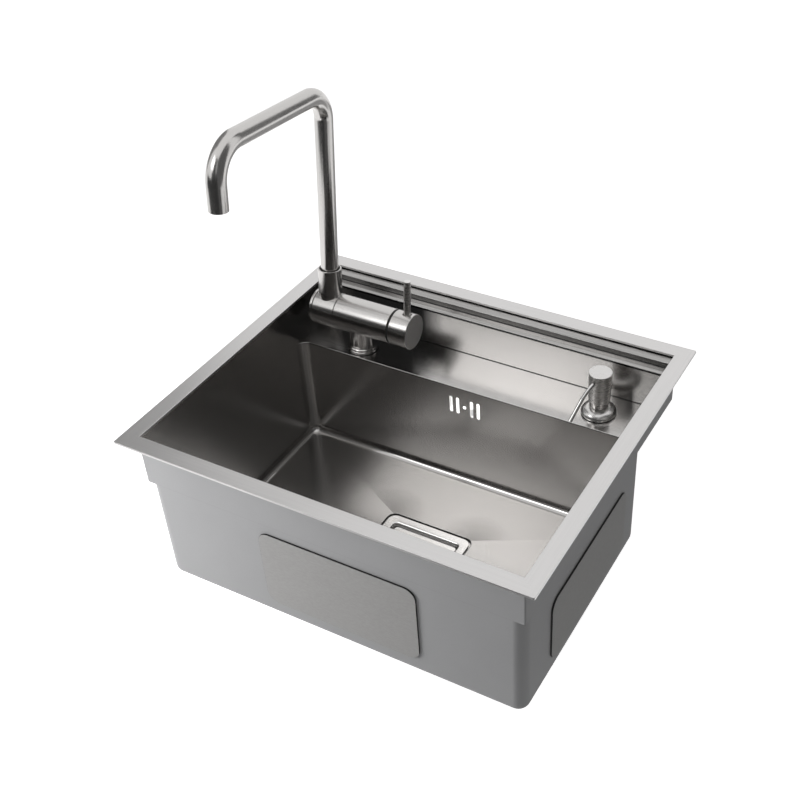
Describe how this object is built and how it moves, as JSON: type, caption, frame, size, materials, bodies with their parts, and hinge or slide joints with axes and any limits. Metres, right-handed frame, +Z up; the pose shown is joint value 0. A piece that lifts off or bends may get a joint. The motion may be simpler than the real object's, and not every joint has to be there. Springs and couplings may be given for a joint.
{
  "type": "kitchen sink",
  "caption": "Single-bowl drop-in kitchen sink with a recessed tap deck, a fold-down swivel tap with side lever, a soap pump, a square drain with basket, and an overflow.",
  "frame": {"origin": "centre of the worktop cut-out, in the plane of the rim's underside", "axes": "+X to the right along the front edge, +Y to the back, +Z up"},
  "size_m": [0.5, 0.43, 0.5845],
  "materials": {
    "satin_steel": "satin brushed inside, matte grey coating outside",
    "tap_steel": "fine brushed",
    "bright_steel": "bright",
    "brass": "turned",
    "black_rubber": "matte",
    "pad_rubber": "matte, finely pebbled",
    "black_plastic": "matte",
    "white_plastic": "milky",
    "slip_plastic": "smooth",
    "bottle_plastic": "translucent"
  },
  "bodies": {
    "sink": {"rim_plate": "satin_steel", "side_band": "satin_steel", "recess": "satin_steel", "bowl": "satin_steel", "front_sound_pad": "pad_rubber", "right_sound_pad": "pad_rubber", "left_sound_pad": "pad_rubber", "back_sound_pad": "pad_rubber", "floor_sound_pads": "pad_rubber", "overflow_gasket": "black_rubber", "overflow_housing": "white_plastic", "drain_frame": "bright_steel", "drain_upper_seal": "black_rubber", "drain_lower_seal": "black_rubber", "drain_body": "black_plastic", "drain_screw": "bright_steel", "tap_base_seal": "black_rubber", "tap_base_ring": "tap_steel", "tap_body": "tap_steel", "tap_shank": "brass", "shank_rubber_washer": "black_rubber", "shank_steel_washer": "bright_steel", "shank_nut": "brass", "cartridge": "white_plastic", "cartridge_nut": "brass", "black_ring": "black_plastic", "spigot": "brass", "spigot_o_rings": "black_rubber", "spigot_washer": "bright_steel", "spigot_screw": "bright_steel", "pump_gasket": "black_rubber", "pump_base": "tap_steel", "pump_rubber_washer": "black_rubber", "pump_nut": "black_plastic", "pump_collar": "tap_steel", "pump_cylinder": "slip_plastic", "pump_spring": "bright_steel", "dip_tube": "slip_plastic", "soap_bottle": "bottle_plastic"},
    "spout_base": {"spout_hub": "tap_steel", "hub_end_cap": "tap_steel", "spout_socket": "tap_steel", "pipe_o_ring": "black_rubber", "pipe_bush": "slip_plastic"},
    "spout": {"spout_pipe": "tap_steel", "aerator": "black_plastic"},
    "handle": {"spindle": "brass", "handle_cap": "tap_steel", "lever_pin": "tap_steel", "handle_grub_screw": "bright_steel"},
    "pump_rod": {"pump_plunger": "slip_plastic"},
    "pump_top": {"pump_head": "tap_steel", "nozzle": "tap_steel"},
    "basket": {"strainer_basket": "bright_steel", "stopper_ring": "black_rubber"},
    "cover": {"drain_cover": "bright_steel"}
  },
  "joints": [
    {"name": "spout_fold", "type": "hinge", "parent": "sink", "child": "spout_base", "pos_m": [-0.195, 0.1236, -0.0125], "axis": [1, 0, 0], "range_deg": [0, 48]},
    {"name": "spout_swivel", "type": "hinge", "parent": "spout_base", "child": "spout", "pos_m": [-0.195, 0.1236, -0.0125], "axis": [0, 0.1132, 0.9936], "range_deg": [-90, 90]},
    {"name": "handle_turn", "type": "hinge", "parent": "sink", "child": "handle", "pos_m": [-0.0875, 0.1236, -0.0125], "axis": [1, 0, 0], "range_deg": [0, 100]},
    {"name": "pump_press", "type": "slide", "parent": "sink", "child": "pump_rod", "axis": [0, 0, -1], "range_m": [0, 0.009], "stiffness_N_per_m": 350, "springref_m": -0.006, "deforming": ["pump_spring"]},
    {"name": "nozzle_swivel", "type": "hinge", "parent": "pump_rod", "child": "pump_top", "pos_m": [0.1653, 0.1336, -0.02], "axis": [0, 0, 1], "range_deg": [-100, 110]},
    {"name": "basket_lift", "type": "slide", "parent": "sink", "child": "basket", "axis": [0, 0, 1], "range_m": [0, 0.08]},
    {"name": "cover_lift", "type": "slide", "parent": "basket", "child": "cover", "axis": [0, 0, 1], "range_m": [0, 0.05]}
  ]
}
